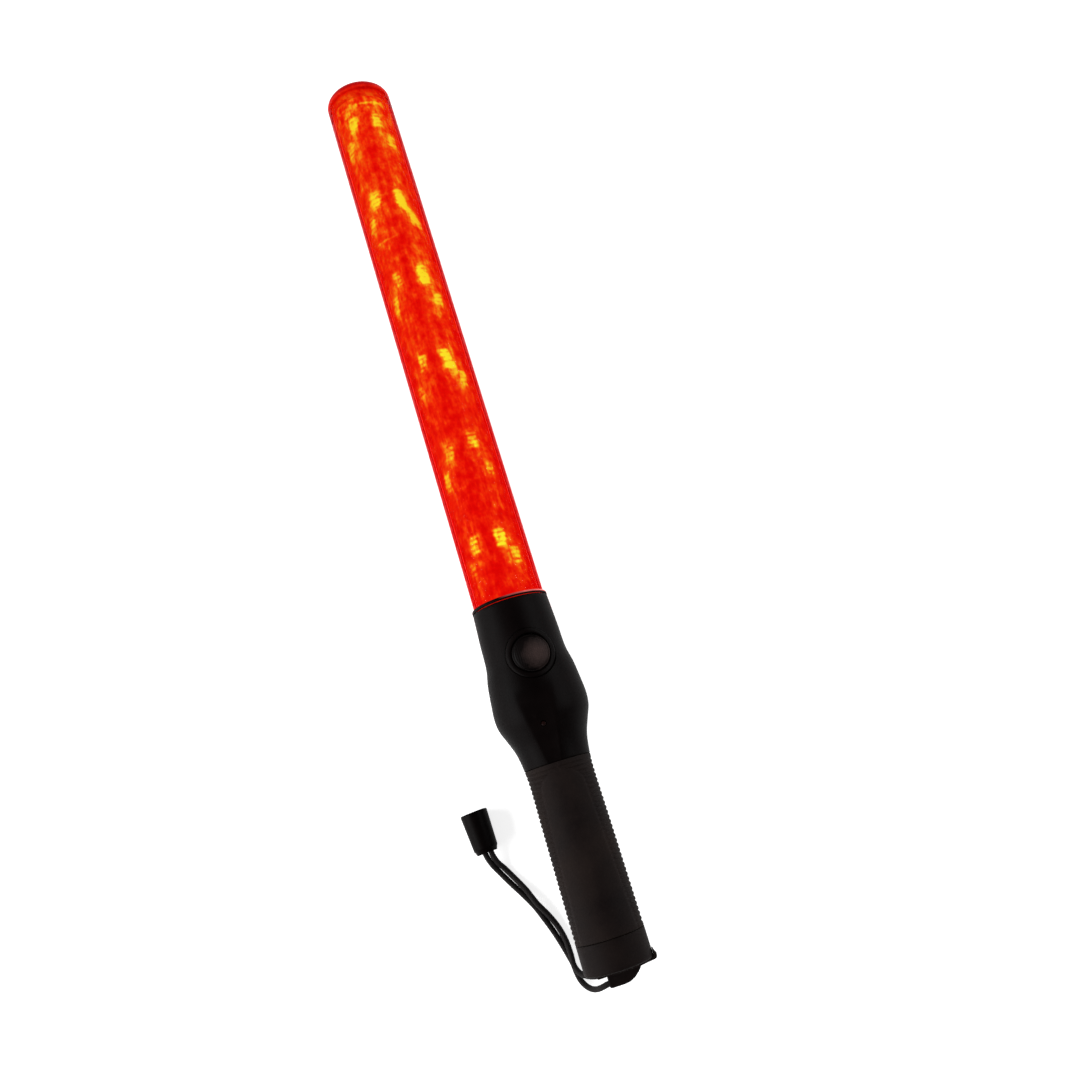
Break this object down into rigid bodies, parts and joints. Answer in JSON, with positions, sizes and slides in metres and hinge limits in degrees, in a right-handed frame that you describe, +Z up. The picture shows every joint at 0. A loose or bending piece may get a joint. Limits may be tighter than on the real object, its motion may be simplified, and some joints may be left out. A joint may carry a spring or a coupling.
{
  "type": "traffic baton light",
  "caption": "Hand-held traffic baton light: a red lit tube on a bulged black handle with a push button, a ribbed grip and a doubled wrist cord ending in a barrel.",
  "frame": {"origin": "on the surface that the baton lies on, below the middle of its length and width, the wrist cord not counted", "axes": "+Y along the baton towards its lit tip, +Z up through the button side, +X to the right seen from above with the tip ahead"},
  "size_m": [0.086, 0.5484, 0.047],
  "materials": {
    "lens_red": "translucent red moulded plastic, lit from inside",
    "lens_clear": "light diffusing clear plastic",
    "seal_silicone": "matt translucent silicone",
    "black_plastic": "fine grained moulded black plastic",
    "grip_rubber": "soft matt black rubber with fine ribs",
    "button_rubber": "soft black rubber with a stippled face",
    "white_plastic": "plain moulded white plastic",
    "board_green": "lacquered circuit board",
    "lamp_lens": "clear amber lamp lens",
    "steel": "plated steel",
    "cell_wrap": "shrunk plastic wrap",
    "cord_black": "braided black nylon cord"
  },
  "bodies": {
    "root": {"battery_cell": "cell_wrap", "button_bezel": "black_plastic", "cell_tray": "black_plastic", "charge_socket": "black_plastic", "contact_plate": "steel", "contact_spring": "steel", "control_board": "board_green", "end_cap": "black_plastic", "end_cap_screw": "steel", "grip_sleeve": "grip_rubber", "handle_front_shell": "black_plastic", "handle_rear_shell": "black_plastic", "indicator_lens": "lens_clear", "lamp_front_left_1": "lamp_lens", "lamp_front_left_2": "lamp_lens", "lamp_front_left_3": "lamp_lens", "lamp_front_left_4": "lamp_lens", "lamp_front_left_5": "lamp_lens", "lamp_front_left_6": "lamp_lens", "lamp_front_right_1": "lamp_lens", "lamp_front_right_2": "lamp_lens", "lamp_front_right_3": "lamp_lens", "lamp_front_right_4": "lamp_lens", "lamp_front_right_5": "lamp_lens", "lamp_front_right_6": "lamp_lens", "lamp_rear_left_1": "lamp_lens", "lamp_rear_left_2": "lamp_lens", "lamp_rear_left_3": "lamp_lens", "lamp_rear_left_4": "lamp_lens", "lamp_rear_left_5": "lamp_lens", "lamp_rear_left_6": "lamp_lens", "lamp_rear_right_1": "lamp_lens", "lamp_rear_right_2": "lamp_lens", "lamp_rear_right_3": "lamp_lens", "lamp_rear_right_4": "lamp_lens", "lamp_rear_right_5": "lamp_lens", "lamp_rear_right_6": "lamp_lens", "lamp_spine": "white_plastic", "lamp_strip_front": "board_green", "lamp_strip_rear": "board_green", "lanyard_barrel": "black_plastic", "lanyard_barrel_plug": "black_plastic", "lanyard_lug": "black_plastic", "lanyard_strand_a": "cord_black", "lanyard_strand_b": "cord_black", "light_tube": "lens_red", "optic_liner": "lens_clear", "shell_screw_lower": "steel", "shell_screw_upper": "steel", "spacer_disc_1": "lens_clear", "spacer_disc_2": "lens_clear", "spacer_disc_3": "lens_clear", "switch_body": "black_plastic", "tip_cap": "lens_red", "tube_foot": "white_plastic", "tube_seal": "seal_silicone"},
    "button": {"switch_button": "button_rubber", "switch_plunger": "white_plastic"},
    "cover": {"port_cover": "grip_rubber"}
  },
  "joints": [
    {"name": "button_press", "type": "slide", "parent": "root", "child": "button", "axis": [-0.2079, 0, -0.9781], "range_m": [0, 0.0013], "stiffness_N_per_m": 500, "springref_m": -0.0008},
    {"name": "cover_hinge", "type": "hinge", "parent": "root", "child": "cover", "pos_m": [-0.011, -0.268, 0.0235], "axis": [0, 0, -1], "range_deg": [0, 100], "stiffness_Nm_per_rad": 0.003}
  ]
}
